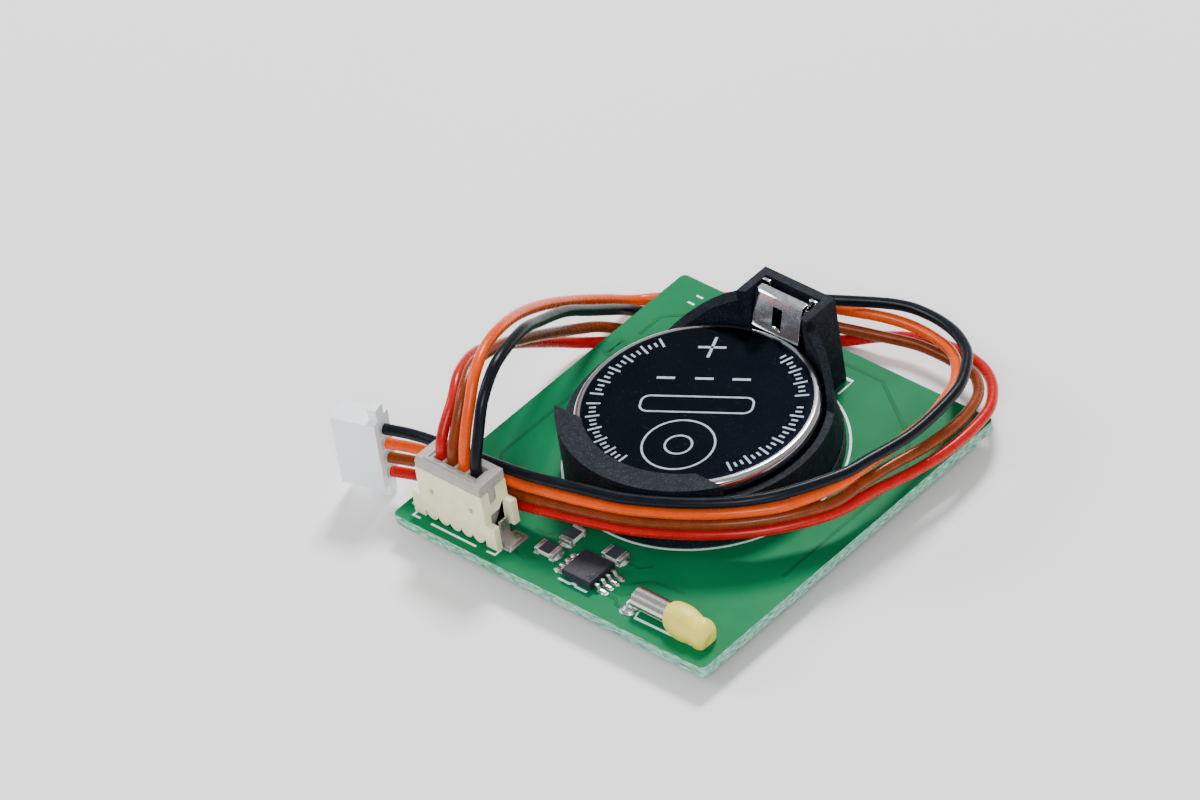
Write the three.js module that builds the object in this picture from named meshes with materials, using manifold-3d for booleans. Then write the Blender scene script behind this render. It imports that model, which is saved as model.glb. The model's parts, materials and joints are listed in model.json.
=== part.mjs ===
// A coin cell backup battery board: a small circuit board with a through-hole coin cell holder,
// a clock chip with its crystal, three resistors and a four-wire harness plugged into a header.
// Millimetres, +Z up. The origin is under the middle of the board, at the tips of its pins.
import * as THREE from "three";
import { mergeVertices } from "three/addons/utils/BufferGeometryUtils.js";
import Module from "manifold-3d";

const wasm = await Module();
wasm.setup();

// ---- Driving dimensions ----
const pinReach = 1.5; // pins and pegs stand this far below the board
const board = { width: 33.3, depth: 35.5, thick: 1.0, corner: 0.5 };
const boardTop = pinReach + board.thick;
const gap = 0.05; // clearance between pieces that touch in the real thing

// Heights from here on are above the top face of the board.
const cell = { radius: 10, height: 3.2, bottom: 2.1, edge: 0.5, wall: 0.25 };
const cellTop = cell.bottom + cell.height;
const holder = { x: -0.2, y: 1.7, outer: 11.4, inner: 10.3, floor: 1.05, rim: 4.1, rimOuter: 10.95 };
const lip = { top: 6.0, under: cellTop + 0.06, inner: 9.3, line: -7.0 };
const tower = { half: 3.7, front: 10.7, back: 13.2, top: 8.6 };
const recess = { half: 2.95, front: 9.0, back: 12.4 };
const clip = { x: -0.3, half: 2.45, thick: 0.25, foldY: 11.95, foldZ: 8.35, toeY: 9.86, toeZ: 5.26 };
const positivePins = [-2.0, 2.0];
const positivePinY = 12.0;
const negativePinY = -6.0;
const pegs = [
  [-8.5, -4.0],
  [8.5, -4.0],
];
const pinHole = 0.55;
const pegRadius = 0.6;

const pitch = 1.25;
const circuits = [-1.5, -0.5, 0.5, 1.5];
const header = { x: -10.75, front: -16.5, back: -13.6, half: 3.6, foot: 4.5, under: 0.7, top: 5.2 };
const headerWireY = -15.0;
const plugTop = 6.2;
const plugPocket = 5.3;

const wireDiameter = 0.95;
const freePlug = { x: -20.35, y: -13.95, z: 2.2, turn: 0.29, pitch: 1.5, height: 6.8 };
const freePlugSize = { length: 4.0, thick: 2.5, flange: 0.8, flangeHeight: 9.0, contactFar: 3.85 };

const chip = { x: 1.7, y: -14.42, size: 3.0, bottom: 0.1, top: 0.95, pitch: 0.65, reach: 2.65 };
const crystal = { x: 7.6, y: -15.05, z: 1.0, radius: 0.95, length: 6.0, leadSpread: 0.35 };
const crystalPads = [
  [7.1, -15.9],
  [7.1, -14.2],
];
const resistor = { length: 2.0, width: 1.25, height: 0.5, cap: 0.4 };

// ---- Materials ----
function finish(color, roughness, metalness = 0) {
  return new THREE.MeshStandardMaterial({ color, roughness, metalness });
}

const look = {
  laminate: () => finish(0x00965a, 0.4),
  holderPlastic: () => finish(0x20262c, 0.6),
  spring: () => finish(0xc8d7e6, 0.2, 1),
  steel: () => finish(0xb8bec6, 0.25, 1),
  rubber: () => finish(0x303030, 0.8),
  pellet: () => finish(0x2a2a2c, 0.9),
  separator: () => finish(0xf0f0ea, 0.9),
  lithium: () => finish(0xb0b2b6, 0.5, 1),
  cream: () => finish(0xe1e4d4, 0.5),
  grey: () => finish(0xafacaa, 0.5),
  white: () => finish(0xe8f0fa, 0.45),
  tinned: () => finish(0xd0d2d4, 0.3, 1),
  chipPlastic: () => finish(0x14191f, 0.55),
  ceramic: () => finish(0xe6e6e2, 0.6),
  adhesive: () => finish(0xece9aa, 0.6),
  glass: () => finish(0x5a5048, 0.3),
};
const wireColours = { red: 0xcd0a05, brown: 0x964619, orange: 0xfa730a, black: 0x14202e };

// ---- Solids ----
function solid(geometry) {
  const plain = geometry.clone();
  plain.deleteAttribute("normal");
  plain.deleteAttribute("uv");
  const merged = mergeVertices(plain, 1e-4);
  const vertProperties = merged.attributes.position.array;
  const triVerts = new Uint32Array(merged.index.array);
  return new wasm.Manifold(new wasm.Mesh({ numProp: 3, vertProperties, triVerts }));
}

function geometryOf(manifold) {
  const mesh = manifold.getMesh();
  const geometry = new THREE.BufferGeometry();
  const position = new THREE.BufferAttribute(new Float32Array(mesh.vertProperties), 3);
  geometry.setAttribute("position", position);
  geometry.setIndex(new THREE.BufferAttribute(new Uint32Array(mesh.triVerts), 1));
  return geometry;
}

// A box between two limits on each axis.
function block([x0, x1], [y0, y1], [z0, z1]) {
  const box = new THREE.BoxGeometry(x1 - x0, y1 - y0, z1 - z0);
  box.translate((x0 + x1) / 2, (y0 + y1) / 2, (z0 + z1) / 2);
  return solid(box);
}

// An upright cylinder.
function rod(x, y, [z0, z1], radius, sides = 16) {
  const cylinder = new THREE.CylinderGeometry(radius, radius, z1 - z0, sides);
  cylinder.rotateX(Math.PI / 2);
  cylinder.translate(x, y, (z0 + z1) / 2);
  return solid(cylinder);
}

// An outline in Y and Z, carried along X.
function slice(outline, [x0, x1]) {
  const shape = new THREE.Shape(outline.map(([y, z]) => new THREE.Vector2(y, z)));
  const geometry = new THREE.ExtrudeGeometry(shape, { depth: x1 - x0, bevelEnabled: false });
  const axes = new THREE.Matrix4().makeBasis(
    new THREE.Vector3(0, 1, 0),
    new THREE.Vector3(0, 0, 1),
    new THREE.Vector3(1, 0, 0),
  );
  geometry.applyMatrix4(axes);
  geometry.translate(x0, 0, 0);
  return solid(geometry);
}

// A profile of radius and height, turned about the Z axis.
function turned(profile, sides = 40) {
  const geometry = new THREE.LatheGeometry(
    profile.map(([r, z]) => new THREE.Vector2(r, z)),
    sides,
  );
  geometry.rotateX(Math.PI / 2);
  return solid(geometry);
}

function closed(profile) {
  return [...profile, profile[0]];
}

function disc(radius, [z0, z1], sides = 40) {
  return turned(
    [
      [0, z0],
      [radius, z0],
      [radius, z1],
      [0, z1],
    ],
    sides,
  );
}

function ring(inner, outer, [z0, z1], sides = 64) {
  const profile = [
    [inner, z0],
    [outer, z0],
    [outer, z1],
    [inner, z1],
  ];
  return turned(closed(profile), sides);
}

// A round bar along a smooth line through points.
function bar(points, diameter, sides, stepLength) {
  const path = new THREE.CatmullRomCurve3(
    points.map((p) => new THREE.Vector3(...p)),
    false,
    "catmullrom",
    0.5,
  );
  const section = new THREE.Shape();
  for (let side = 0; side < sides; side++) {
    const angle = (side / sides) * 2 * Math.PI;
    const x = (Math.cos(angle) * diameter) / 2;
    const y = (Math.sin(angle) * diameter) / 2;
    if (side === 0) section.moveTo(x, y);
    else section.lineTo(x, y);
  }
  const steps = Math.max(1, Math.round(path.getLength() / stepLength));
  return new THREE.ExtrudeGeometry(section, { steps, extrudePath: path, bevelEnabled: false });
}

// ---- Scene graph ----
const group = new THREE.Group();
const onBoard = new THREE.Group();
onBoard.position.z = boardTop;
group.add(onBoard);
const inHolder = new THREE.Group();
inHolder.position.set(holder.x, holder.y, 0);
onBoard.add(inHolder);

function place(name, shape, material, parent = onBoard) {
  const geometry = shape.isBufferGeometry ? shape : geometryOf(shape);
  const mesh = new THREE.Mesh(geometry, material);
  mesh.name = name;
  parent.add(mesh);
  return mesh;
}

// ---- Circuit board ----
function circuitBoard() {
  const right = board.width / 2;
  const back = board.depth / 2;
  const r = board.corner;
  const outline = new THREE.Shape();
  outline.absarc(right - r, back - r, r, 0, Math.PI / 2);
  outline.absarc(-right + r, back - r, r, Math.PI / 2, Math.PI);
  outline.absarc(-right + r, -back + r, r, Math.PI, 1.5 * Math.PI);
  outline.absarc(right - r, -back + r, r, 1.5 * Math.PI, 2 * Math.PI);
  const options = { depth: board.thick, bevelEnabled: false, curveSegments: 4 };
  const plate = new THREE.ExtrudeGeometry(outline, options);
  plate.translate(0, 0, -board.thick);
  let laminate = solid(plate);
  const through = [-board.thick - 1, 1];
  for (const x of positivePins)
    laminate = laminate.subtract(rod(holder.x + x, holder.y + positivePinY, through, pinHole, 12));
  laminate = laminate.subtract(rod(holder.x, holder.y + negativePinY, through, pinHole, 12));
  for (const [x, y] of pegs)
    laminate = laminate.subtract(rod(holder.x + x, holder.y + y, through, pegRadius + 0.1));
  for (const [x, y] of crystalPads) laminate = laminate.subtract(rod(x, y, through, 0.3, 12));
  place("pcb", laminate, look.laminate());
}

// ---- Coin cell holder ----
function holderBody() {
  const { outer, inner, floor, rim, rimOuter } = holder;
  const wide = 2 * outer;
  let body = disc(outer, [gap, floor], 64);

  // The front lip is higher and hooks over the cell, in front of a straight line.
  const inFront = block([-wide, wide], [-wide, lip.line], [-1, 20]);
  const hook = ring(lip.inner, outer, [lip.under, lip.top]);
  const frontWall = ring(inner, outer, [gap, lip.top]);
  body = body.add(hook.add(frontWall).intersect(inFront));

  // The wall's outer face leans in up to the rim. At the back it climbs on up to the tower.
  const wall = turned(
    closed([
      [inner, gap],
      [outer, gap],
      [rimOuter, rim],
      [rimOuter, tower.top],
      [inner, tower.top],
    ]),
    64,
  );
  const rampFrom = 5.6;
  const ramp = slice(
    [
      [rampFrom, rim - 0.5],
      [tower.back, rim - 0.5],
      [tower.back, tower.top],
      [tower.front, tower.top],
    ],
    [-outer, outer],
  );
  const upToRim = block([-wide, wide], [-wide, wide], [0, rim]);
  body = body.add(wall.intersect(upToRim.add(ramp)));

  // The tower stands behind the cell, with a recess for the positive contact.
  const { half, back, top } = tower;
  let column = block([-half, half], [inner - 2, back], [gap, top]);
  column = column.subtract(rod(0, 0, [floor, top + 1], inner, 64));
  body = body.add(column);
  body = body.subtract(
    block([-recess.half, recess.half], [recess.front, recess.back], [floor, top + 1]),
  );

  // Slots for the pins, and the pegs that locate the holder in the board.
  for (const x of positivePins)
    body = body.subtract(
      block([x - 0.4, x + 0.4], [positivePinY - 0.3, positivePinY + 0.3], [-1, floor + 1]),
    );
  body = body.subtract(block([-0.4, 0.4], [negativePinY - 0.3, negativePinY + 0.3], [-1, floor + 1]));
  for (const [x, y] of pegs)
    body = body.add(rod(x, y, [-boardTop, floor], pegRadius));
  place("holder_body", body, look.holderPlastic(), inHolder);
}

// ---- Contacts ----
// The positive contact is one bent strip, split here at its flexing fold.
function positiveContact() {
  const { thick, foldY, foldZ, toeY, toeZ } = clip;
  const plateHalf = 2.3;
  const left = clip.x - clip.half;
  const right = clip.x + clip.half;
  const plateFront = positivePinY - thick / 2;
  const plateBack = positivePinY + thick / 2;
  let terminal = block([-plateHalf, plateHalf], [plateFront, plateBack], [holder.floor + gap, foldZ - 0.4]);
  for (const x of positivePins)
    terminal = terminal.add(
      block([x - 0.3, x + 0.3], [plateFront, plateBack], [-boardTop, holder.floor + 1]),
    );
  // Two ears stand up beside the fold and wedge the plate in the tower.
  for (const side of [-1, 1]) {
    const edge = side * (recess.half - 0.1);
    const across = [Math.min(edge, edge - side * 0.75), Math.max(edge, edge - side * 0.75)];
    terminal = terminal.add(block(across, [plateFront, plateBack], [5, foldZ + 0.3]));
  }
  place("positive_terminal", terminal, look.spring(), inHolder);

  // The leaf hangs forward from the fold and leans on the cell's shoulder.
  const lean = Math.hypot(foldY - 1.0 - toeY, foldZ - toeZ);
  const acrossY = ((foldZ - toeZ) / lean) * thick;
  const acrossZ = ((foldY - 1.0 - toeY) / lean) * thick;
  const bend = foldY - 1.0;
  const outline = [
    [toeY, toeZ],
    [toeY + acrossY, toeZ - acrossZ + 0.12],
    [bend + acrossY + 0.1, foldZ - thick],
    [foldY - 0.25, foldZ - thick],
    [foldY - 0.25, foldZ],
    [bend + 0.1, foldZ],
    [bend - 0.08, foldZ - 0.12],
  ];
  let leaf = slice(outline, [left, right]);
  const window = block([clip.x - 0.5, clip.x + 0.5], [9, bend + 0.25], [toeZ + 0.45, foldZ - 0.85]);
  leaf = leaf.subtract(window);
  // Flanges folded back along both sides keep the leaf stiff.
  const flange = [
    [toeY + acrossY, toeZ + 0.1],
    [toeY + acrossY + 0.75, toeZ + 0.6],
    [bend + acrossY + 0.35, foldZ - 0.55],
    [bend + acrossY, foldZ - 0.55],
  ];
  leaf = leaf.add(slice(flange, [left, left + thick]));
  leaf = leaf.add(slice(flange, [right - thick, right]));
  place("positive_clip", leaf, look.spring(), inHolder);
}

// The negative contact lies on the holder's floor, and a sprung finger rises to the cell.
function negativeContact() {
  const base = holder.floor + gap;
  const thick = 0.2;
  let terminal = block([-1.5, 1.5], [-6.6, -3.1], [base, base + thick]);
  const pin = [negativePinY - 0.12, negativePinY + 0.12];
  terminal = terminal.add(block([-0.3, 0.3], pin, [-boardTop, base + thick]));
  place("negative_terminal", terminal, look.spring(), inHolder);

  const touch = cell.bottom - 0.03;
  const finger = [
    [-3.05, base],
    [4.0, touch - thick],
    [5.0, touch - thick - 0.35],
    [5.0, touch - 0.35],
    [4.0, touch],
    [-3.05, base + thick],
  ];
  place("negative_finger", slice(finger, [-1.0, 1.0]), look.spring(), inHolder);
}

// ---- Coin cell ----
function coinCell() {
  const { radius, height, edge, wall } = cell;
  const inCell = new THREE.Group();
  inCell.position.z = cell.bottom;
  inHolder.add(inCell);

  // The can is the positive side: the top, the wall and the crimp under it.
  const crimp = radius - 1.1;
  const can = [
    [0, height],
    [0, height - wall],
    [radius - wall - edge, height - wall],
    [radius - wall, height - edge],
    [radius - wall, wall + 0.15],
    [crimp, wall + 0.05],
    [crimp, 0.08],
    [radius - 0.4, 0.05],
    [radius - 0.1, 0.2],
    [radius, 0.5],
    [radius, height - edge],
  ];
  for (let step = 1; step <= 3; step++) {
    const angle = (step / 3) * (Math.PI / 2);
    can.push([radius - edge + edge * Math.cos(angle), height - edge + edge * Math.sin(angle)]);
  }
  const canProfile = [...can.slice(1), can[0]];
  place("cell_can", turned(canProfile, 56), look.steel(), inCell);

  // The cap is the negative side: a shallow dish inside the can.
  const cap = radius - 1.5;
  const capProfile = [
    [0, 0],
    [cap, 0],
    [cap + 0.2, 0.2],
    [cap + 0.2, 2.1],
    [cap, 2.1],
    [cap, 0.25],
    [0, 0.25],
  ];
  place("cell_cap", turned(capProfile), look.steel(), inCell);

  const gasketInner = cap + 0.2 + gap;
  const gasketOuter = radius - wall - gap;
  const gasketProfile = [
    [gasketInner, wall + 0.15 + gap],
    [gasketOuter, wall + 0.25 + gap],
    [gasketOuter, 2.3],
    [cap - 0.1, 2.3],
    [cap - 0.1, 2.1 + gap],
    [gasketInner, 2.1 + gap],
  ];
  place("cell_gasket", turned(closed(gasketProfile)), look.rubber(), inCell);

  place("lithium_disc", disc(7.9, [0.25 + gap, 1.1], 32), look.lithium(), inCell);
  place("separator", disc(8.2, [1.15, 1.3], 32), look.separator(), inCell);
  place("cathode_pellet", disc(8.1, [1.35, height - wall - gap], 32), look.pellet(), inCell);
}

// ---- Board header and the plug in it ----
function circuitX(index) {
  return header.x + circuits[index] * pitch;
}

function headerHousing() {
  const { x, front, back, half, foot, under, top } = header;
  const left = x - half;
  const right = x + half;
  let housing = block([left, right], [front, back], [under, top]);

  // Feet at both ends carry the front wall down to the board.
  for (const side of [-1, 1]) {
    const inner = x + side * (half - 0.3);
    const outer = x + side * foot;
    const across = [Math.min(inner, outer), Math.max(inner, outer)];
    housing = housing.add(block(across, [front, front + 0.6], [gap, 2.3]));
    housing = housing.add(block(across, [back - 0.65, back], [1.2, 3.6]));
  }
  // A comb of round bumps between the feet.
  for (const index of [-2, -1, 0, 1, 2]) {
    const bump = new THREE.CylinderGeometry(0.6, 0.6, 0.6, 12);
    bump.translate(x + index * pitch, front + 0.3, under - 0.03);
    housing = housing.add(solid(bump));
  }
  const pocket = block([left + 0.3, right - 0.3], [front + 0.3, back - 0.3], [1.4, top + 1]);
  housing = housing.subtract(pocket);

  // Side openings above the tabs, the latch notch, and two slots in the front wall.
  const sideOpening = block([left - 2, right + 2], [front + 0.75, back - 0.8], [1.4, 2.9]);
  housing = housing.subtract(sideOpening);
  for (const side of [-1, 1]) {
    const wallX = x + side * (half - 0.15);
    const across = [wallX - 0.3, wallX + 0.3];
    housing = housing.subtract(block(across, [front + 0.9, front + 1.75], [3.9, top + 1]));
    const slotX = x + side * 2.15;
    const slot = block([slotX - 0.2, slotX + 0.2], [front - 1, front + 0.4], [2.9, 3.5]);
    housing = housing.subtract(slot);
  }
  // Holes in the floor for the contact posts.
  circuits.forEach((_, index) => {
    const at = circuitX(index);
    const hole = block([at - 0.3, at + 0.3], [headerWireY - 0.3, headerWireY + 0.3], [0, 2]);
    housing = housing.subtract(hole);
  });
  place("header_housing", housing, look.cream());
}

function headerPins() {
  circuits.forEach((_, index) => {
    const at = circuitX(index);
    const across = [at - 0.18, at + 0.18];
    const post = block(across, [headerWireY - 0.18, headerWireY + 0.18], [0.1, 4.2]);
    const tail = block(across, [headerWireY - 0.18, header.back + 0.75], [0.1, 0.4]);
    place(`header_pin_${index + 1}`, post.add(tail), look.tinned());
  });
}

function headerTabs() {
  const sides = { left: -1, right: 1 };
  for (const [name, side] of Object.entries(sides)) {
    const inner = header.x + side * (header.half + 0.35);
    const outer = header.x + side * (header.foot + 0.7);
    const upright = inner + side * 0.22;
    const flat = block([Math.min(inner, outer), Math.max(inner, outer)], [-15.7, -13.95], [gap, 0.28]);
    const stem = [Math.min(inner, upright), Math.max(inner, upright)];
    const tab = flat.add(block(stem, [-15.5, -14.45], [gap, 2.2]));
    place(`header_tab_${name}`, tab, look.tinned());
  }
}

function harnessPlug() {
  const { x, front, back: rear, half, top } = header;
  const inside = half - 0.4;
  let plug = block([x - inside, x + inside], [front + 0.4, rear - 0.4], [1.5, top + 0.2]);
  const collar = block([x - half + 0.1, x + half - 0.1], [front, rear + 0.05], [top + gap, plugTop]);
  plug = plug.add(collar);
  // The wires enter through a sunk pocket in the top.
  plug = plug.subtract(block([x - 2.6, x + 2.6], [-15.75, -14.25], [plugPocket, plugTop + 1]));
  // A long chamfer on the front edge and a latch key on both ends.
  const chamfer = [
    [front - 0.1, plugTop - 0.45],
    [front + 0.35, plugTop + 0.1],
    [front - 0.1, plugTop + 0.1],
  ];
  plug = plug.subtract(slice(chamfer, [x - half, x + half]));
  for (const side of [-1, 1]) {
    const inner = x + side * (inside - 0.2);
    const outer = x + side * (half - 0.02);
    const across = [Math.min(inner, outer), Math.max(inner, outer)];
    plug = plug.add(block(across, [front + 1.0, front + 1.65], [4.1, top + 0.3]));
  }
  circuits.forEach((_, index) => {
    const at = circuitX(index);
    const cavity = block([at - 0.52, at + 0.52], [headerWireY - 0.52, headerWireY + 0.52], [1, plugTop + 1]);
    plug = plug.subtract(cavity);
  });
  place("harness_plug", plug, look.grey());
}

// A box contact with a socket for the post below and its wire crimped above.
function socketContact() {
  const shell = block([-0.45, 0.45], [-0.45, 0.45], [0, 3.2]);
  const socket = block([-0.26, 0.26], [-0.26, 0.26], [-1, 2.7]);
  return shell.subtract(socket);
}

function harnessCrimps() {
  circuits.forEach((_, index) => {
    const crimp = place(`harness_crimp_${index + 1}`, socketContact(), look.tinned());
    crimp.position.set(circuitX(index), headerWireY, 1.9);
  });
}

// ---- Harness wires ----
const wireStart = plugPocket - 0.1;
const exitX = circuits.map((_, index) => circuitX(index));
const routes = {
  red: [
    [exitX[0], headerWireY, wireStart],
    [exitX[0], -14.85, 6.9],
    [-12.8, -14.05, 8.2],
    [-13.2, -12.3, 9.7],
    [-14.6, -9.9, 10.1],
    [-16.4, -6.4, 8.8],
    [-17.6, -2.8, 6.5],
    [-18.5, 0.8, 3.8],
    [-19.1, 3.4, 1.7],
    [-19.4, 5.4, 0.15],
    [-19.15, 7.4, -1.23],
    [-18.0, 9.1, -1.85],
    [-16.0, 10.6, -1.93],
    [-11.0, 13.95, -1.93],
    [-6.2, 17.5, -1.93],
    [-1.7, 20.0, -1.9],
    [1.4, 21.3, -1.0],
    [4.5, 22.3, -0.4],
    [8.4, 22.5, 0.2],
    [11.46, 21.9, 0.6],
    [13.42, 21.03, 0.8],
    [15.13, 19.56, 1.0],
    [16.54, 17.37, 1.2],
    [17.15, 14.3, 1.4],
    [17.2, 10.8, 1.6],
    [16.76, 7.62, 1.8],
    [15.95, 4.4, 2.0],
    [14.9, 0.0, 2.15],
    [11.9, -4.2, 2.15],
    [7.9, -7.5, 2.15],
    [3.05, -10.1, 2.15],
    [-0.7, -11.3, 2.15],
    [-4.8, -12.15, 1.9],
    [-7.8, -12.45, 1.5],
    [-14.2, -12.85, 0.8],
    [-17.5, -13.2, 0.2],
    [-20.2, -13.9, -0.05],
  ],
  brown: [
    [exitX[1], headerWireY, wireStart],
    [exitX[1], -14.85, 6.9],
    [-11.5, -14.1, 8.3],
    [-11.75, -12.95, 9.9],
    [-12.4, -11.5, 10.9],
    [-13.7, -8.9, 10.9],
    [-15.15, -4.64, 9.0],
    [-16.15, -1.7, 7.0],
    [-17.05, 1.1, 5.0],
    [-18.3, 5.2, 2.0],
    [-18.5, 8.3, 0.1],
    [-18.45, 9.9, -1.0],
    [-17.7, 11.3, -1.9],
    [-16.0, 12.6, -1.93],
    [-12.5, 15.2, -1.93],
    [-9.2, 17.6, -1.9],
    [-5.6, 19.4, -1.15],
    [-1.6, 19.9, -0.4],
    [2.4, 20.4, 0.2],
    [6.1, 20.7, 0.8],
    [8.86, 20.57, 1.1],
    [11.2, 20.2, 1.35],
    [13.08, 19.75, 1.6],
    [14.85, 18.27, 1.8],
    [15.85, 16.35, 2.05],
    [16.48, 13.71, 2.4],
    [16.46, 10.32, 2.65],
    [15.85, 6.67, 2.95],
    [15.45, 3.6, 3.15],
    [14.95, 0.1, 3.2],
    [11.9, -4.15, 3.2],
    [7.9, -7.5, 3.2],
    [3.05, -10.1, 3.2],
    [-0.7, -11.3, 3.2],
    [-4.8, -12.15, 2.95],
    [-7.8, -12.45, 2.6],
    [-14.2, -12.85, 2.1],
    [-17.5, -13.2, 1.65],
    [-20.2, -13.9, 1.45],
  ],
  orange: [
    [exitX[2], headerWireY, wireStart],
    [exitX[2], -14.85, 6.9],
    [-10.25, -14.15, 8.9],
    [-10.65, -12.75, 11.0],
    [-11.2, -11.3, 12.5],
    [-12.2, -9.0, 13.0],
    [-13.42, -6.22, 12.4],
    [-15.34, -2.14, 10.3],
    [-17.36, 2.67, 7.0],
    [-19.0, 7.6, 3.2],
    [-19.5, 11.5, 0.3],
    [-19.3, 14.2, -1.6],
    [-17.8, 16.0, -1.93],
    [-14.5, 18.2, -1.93],
    [-9.0, 21.3, -1.6],
    [-3.3, 21.5, -0.3],
    [1.6, 21.45, 1.2],
    [4.94, 21.45, 1.8],
    [7.94, 20.98, 2.2],
    [10.3, 20.25, 2.45],
    [11.9, 19.1, 2.7],
    [13.4, 17.3, 2.9],
    [14.1, 15.6, 3.0],
    [14.87, 12.4, 3.2],
    [15.05, 9.4, 3.5],
    [15.1, 5.0, 4.1],
    [14.95, 1.6, 4.25],
    [13.6, -1.8, 4.25],
    [11.9, -4.15, 4.25],
    [7.9, -7.45, 4.25],
    [3.05, -10.05, 4.25],
    [-0.7, -11.3, 4.25],
    [-4.8, -12.1, 4.05],
    [-7.8, -12.4, 3.75],
    [-14.2, -12.85, 3.4],
    [-17.5, -13.2, 3.1],
    [-20.2, -13.9, 2.95],
  ],
  black: [
    [exitX[3], headerWireY, wireStart],
    [exitX[3], -14.85, 6.9],
    [-9.05, -13.95, 9.0],
    [-9.45, -12.5, 11.4],
    [-10.0, -10.5, 12.8],
    [-10.8, -8.2, 12.9],
    [-12.3, -4.5, 11.8],
    [-13.9, -1.2, 9.6],
    [-15.8, 3.4, 6.5],
    [-17.1, 7.5, 3.1],
    [-17.9, 10.7, 0.55],
    [-18.15, 12.5, -0.9],
    [-17.7, 13.9, -1.9],
    [-16.1, 15.3, -1.93],
    [-13.5, 17.1, -1.93],
    [-9.0, 19.6, -1.4],
    [-5.6, 20.6, 0.2],
    [-2.5, 21.0, 1.3],
    [3.06, 22.04, 2.7],
    [6.4, 22.1, 3.2],
    [9.6, 21.4, 3.6],
    [12.0, 20.2, 3.85],
    [13.5, 18.8, 4.05],
    [15.0, 16.4, 4.25],
    [15.65, 14.4, 4.4],
    [16.1, 11.26, 4.6],
    [16.2, 8.26, 4.8],
    [15.7, 4.5, 5.1],
    [14.95, 1.1, 5.3],
    [11.9, -4.0, 5.35],
    [7.95, -7.35, 5.35],
    [3.05, -10.0, 5.35],
    [-0.75, -11.15, 5.35],
    [-4.8, -12.0, 5.15],
    [-7.8, -12.35, 4.95],
    [-14.2, -12.85, 4.7],
    [-17.5, -13.2, 4.55],
    [-20.2, -13.9, 4.45],
  ],
};

function wires() {
  for (const [name, points] of Object.entries(routes)) {
    const wire = bar(points, wireDiameter, 8, 2.2);
    place(`wire_${name}`, wire, finish(wireColours[name], 0.4));
  }
}

// ---- Free plug ----
// Built along +X from its wire face, then turned to point away from the board.
function freeConnector() {
  const plugGroup = new THREE.Group();
  plugGroup.position.set(freePlug.x, freePlug.y, freePlug.z);
  plugGroup.rotation.z = Math.PI + freePlug.turn;
  onBoard.add(plugGroup);

  const { length, thick, flange, flangeHeight, contactFar } = freePlugSize;
  const halfThick = thick / 2;
  const halfHeight = freePlug.height / 2;
  let shell = block([0, length], [-halfThick, halfThick], [-halfHeight, halfHeight]);
  const ears = block([0, flange], [-0.6, 0.6], [-flangeHeight / 2, flangeHeight / 2]);
  shell = shell.add(ears);
  circuits.forEach((circuit) => {
    const z = circuit * freePlug.pitch;
    const cavity = block([-1, length + 1], [-0.52, 0.52], [z - 0.52, z + 0.52]);
    shell = shell.subtract(cavity);
    const window = block([1.6, 2.8], [-halfThick - 1, 0], [z - 0.35, z + 0.35]);
    shell = shell.subtract(window);
  });
  place("free_plug", shell, look.white(), plugGroup);

  circuits.forEach((circuit, index) => {
    const contact = place(`free_crimp_${index + 1}`, socketContact(), look.tinned(), plugGroup);
    contact.rotation.y = -Math.PI / 2;
    contact.position.set(contactFar, 0, circuit * freePlug.pitch);
  });
}

// ---- Clock chip ----
function clockChip() {
  const inChip = new THREE.Group();
  inChip.position.set(chip.x, chip.y, 0);
  onBoard.add(inChip);
  const half = chip.size / 2;
  const waist = (chip.bottom + chip.top) / 2;
  const draft = 0.08;
  const outline = [
    [-half + draft, chip.bottom],
    [half - draft, chip.bottom],
    [half, waist],
    [half - draft, chip.top],
    [-half + draft, chip.top],
    [-half, waist],
  ];
  let body = slice(outline, [-half, half]);
  body = body.subtract(rod(half - 0.5, -half + 0.5, [chip.top - 0.06, chip.top + 1], 0.22, 12));
  place("clock_chip", body, look.chipPlastic(), inChip);

  // Gull-wing leads: a shoulder out of the waist, a leg down, and a foot.
  const lead = 0.15;
  const outlineLead = [
    [half + gap, waist - lead / 2],
    [half + 0.3, waist - lead / 2],
    [half + 0.5, 0.06],
    [chip.reach, 0.06],
    [chip.reach, 0.06 + lead],
    [half + 0.62, 0.06 + lead],
    [half + 0.42, waist + lead / 2],
    [half + gap, waist + lead / 2],
  ];
  let number = 1;
  for (const turn of [-Math.PI / 2, Math.PI / 2])
    for (const step of [-1.5, -0.5, 0.5, 1.5]) {
      const across = step * chip.pitch;
      const shape = slice(outlineLead, [across - 0.15, across + 0.15]);
      const mesh = place(`chip_lead_${number}`, shape, look.tinned(), inChip);
      mesh.rotation.z = turn;
      number += 1;
    }
}

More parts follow.
